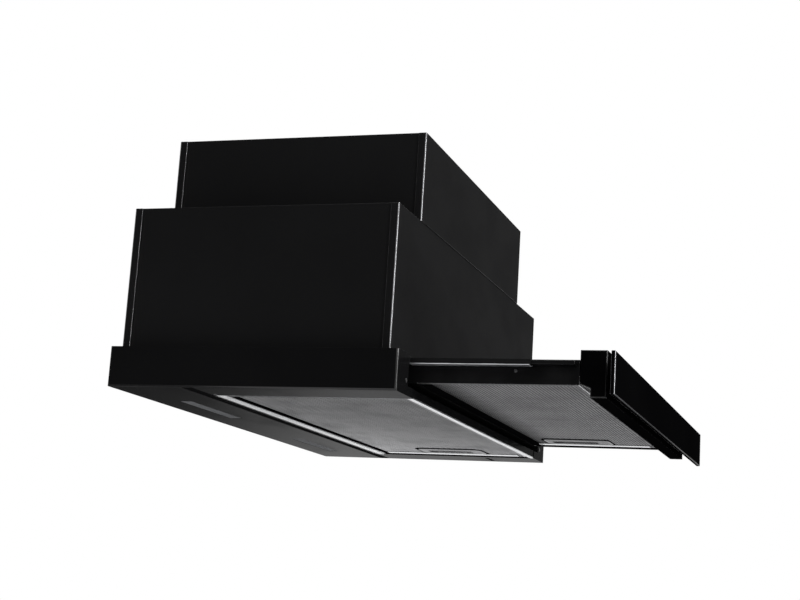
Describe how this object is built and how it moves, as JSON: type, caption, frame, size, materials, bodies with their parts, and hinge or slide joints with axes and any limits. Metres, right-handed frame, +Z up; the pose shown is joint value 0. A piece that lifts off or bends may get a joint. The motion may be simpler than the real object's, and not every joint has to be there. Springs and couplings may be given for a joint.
{
  "type": "pull out range hood",
  "caption": "Built-in pull out range hood: stepped black casing with round outlet, lamps, two grease filters and a sliding carriage with a fascia.",
  "frame": {"origin": "centre of the four cabinet screw holes, in the plane of the ledge that meets the cabinet", "axes": "+Z up towards the outlet, -Y towards the user (the way the carriage pulls out), +X the user's right"},
  "size_m": [0.598, 0.485, 0.3097],
  "materials": {
    "black_gloss_sheet": "gloss",
    "black_satin_sheet": "satin",
    "bright_aluminium": "satin",
    "filter_mesh": "matte",
    "zinc_steel": "satin",
    "black_plastic": "matte",
    "grey_plastic": "matte",
    "lamp_lens": "gloss",
    "circuit_board": "matte",
    "motor_steel": "satin"
  },
  "bodies": {
    "hood": {"base_tray": "black_gloss_sheet", "slide_brackets": "black_satin_sheet", "lamp_lenses": "lamp_lens", "lamp_housings": "grey_plastic", "led_boards": "circuit_board", "rear_filter_rail": "bright_aluminium", "front_filter_rail": "bright_aluminium", "rail_screws": "zinc_steel", "led_driver": "grey_plastic", "lower_front_panel": "black_gloss_sheet", "lower_back_panel": "black_gloss_sheet", "lower_left_panel": "black_gloss_sheet", "lower_right_panel": "black_gloss_sheet", "lower_top_panel": "black_gloss_sheet", "casing_screws": "zinc_steel", "upper_front_panel": "black_gloss_sheet", "upper_back_panel": "black_gloss_sheet", "upper_left_panel": "black_gloss_sheet", "upper_right_panel": "black_gloss_sheet", "upper_top_panel": "black_gloss_sheet", "outlet_spigot": "black_plastic", "flap_pins": "zinc_steel", "scroll_wrap": "zinc_steel", "scroll_left_plate": "zinc_steel", "scroll_right_plate": "zinc_steel", "outlet_transition": "zinc_steel", "motor": "motor_steel", "motor_bracket": "zinc_steel", "run_capacitor": "grey_plastic", "terminal_box": "black_plastic", "terminal_block": "grey_plastic", "cable_gland": "black_plastic", "outer_slides": "zinc_steel"},
    "fan": {"impeller": "grey_plastic", "motor_shaft": "zinc_steel"},
    "left_flap": {"left_flap": "black_plastic"},
    "right_flap": {"right_flap": "black_plastic"},
    "left_middle_slide": {"left_middle_slide": "zinc_steel"},
    "right_middle_slide": {"right_middle_slide": "zinc_steel"},
    "carriage": {"left_carriage_bar": "black_satin_sheet", "right_carriage_bar": "black_satin_sheet", "carriage_rivets": "zinc_steel", "carriage_rear_rail": "black_satin_sheet", "carriage_top_cover": "black_satin_sheet", "crossbar": "black_gloss_sheet", "crossbar_caps": "black_plastic", "switch_housing": "black_plastic", "fascia_panel": "black_gloss_sheet", "fascia_brackets": "black_satin_sheet", "inner_slides": "zinc_steel"},
    "fixed_filter": {"fixed_filter_frame": "bright_aluminium", "fixed_filter_mesh": "filter_mesh", "fixed_filter_handle_plate": "bright_aluminium"},
    "fixed_filter_latch": {"fixed_filter_latch": "black_plastic"},
    "carriage_filter": {"carriage_filter_frame": "bright_aluminium", "carriage_filter_mesh": "filter_mesh", "carriage_filter_handle_plate": "bright_aluminium"},
    "carriage_filter_latch": {"carriage_filter_latch": "black_plastic"},
    "light_switch": {"light_switch": "black_plastic"},
    "speed_switch": {"speed_switch": "black_plastic"}
  },
  "joints": [
    {"name": "carriage_slide", "type": "slide", "parent": "hood", "child": "carriage", "axis": [0, -1, 0], "range_m": [-0.164, 0]},
    {"name": "left_middle_slide", "type": "slide", "parent": "hood", "child": "left_middle_slide", "axis": [0, -1, 0], "range_m": [-0.1148, 0]},
    {"name": "right_middle_slide", "type": "slide", "parent": "hood", "child": "right_middle_slide", "axis": [0, -1, 0], "range_m": [-0.1148, 0]},
    {"name": "fixed_filter_hinge", "type": "hinge", "parent": "hood", "child": "fixed_filter", "pos_m": [-0.239, -0.0589, -0.03545], "axis": [0, 1, 0], "range_deg": [0, 75]},
    {"name": "fixed_filter_latch", "type": "slide", "parent": "fixed_filter", "child": "fixed_filter_latch", "axis": [-1, 0, 0], "range_m": [0, 0.0038], "stiffness_N_per_m": 400},
    {"name": "carriage_filter_hinge", "type": "hinge", "parent": "carriage", "child": "carriage_filter", "pos_m": [-0.239, -0.23405, -0.02045], "axis": [0, 1, 0], "range_deg": [0, 75]},
    {"name": "carriage_filter_latch", "type": "slide", "parent": "carriage_filter", "child": "carriage_filter_latch", "axis": [-1, 0, 0], "range_m": [0, 0.0038], "stiffness_N_per_m": 400},
    {"name": "fan_spin", "type": "hinge", "parent": "hood", "child": "fan", "pos_m": [-0.01325, 0.036, 0.101], "axis": [1, 0, 0], "continuous": true},
    {"name": "left_flap_hinge", "type": "hinge", "parent": "hood", "child": "left_flap", "pos_m": [-0.01685, -0.025, 0.2402], "axis": [0, 1, 0], "range_deg": [0, 80]},
    {"name": "right_flap_hinge", "type": "hinge", "parent": "hood", "child": "right_flap", "pos_m": [-0.00965, -0.025, 0.2402], "axis": [0, -1, 0], "range_deg": [0, 80]},
    {"name": "light_switch", "type": "slide", "parent": "carriage", "child": "light_switch", "axis": [1, 0, 0], "range_m": [0, 0.007]},
    {"name": "speed_switch", "type": "slide", "parent": "carriage", "child": "speed_switch", "axis": [1, 0, 0], "range_m": [0, 0.021]}
  ],
  "couplings": [
    {"joint": "left_middle_slide", "follows": "carriage_slide", "ratio": 0.7},
    {"joint": "right_middle_slide", "follows": "carriage_slide", "ratio": 0.7}
  ]
}
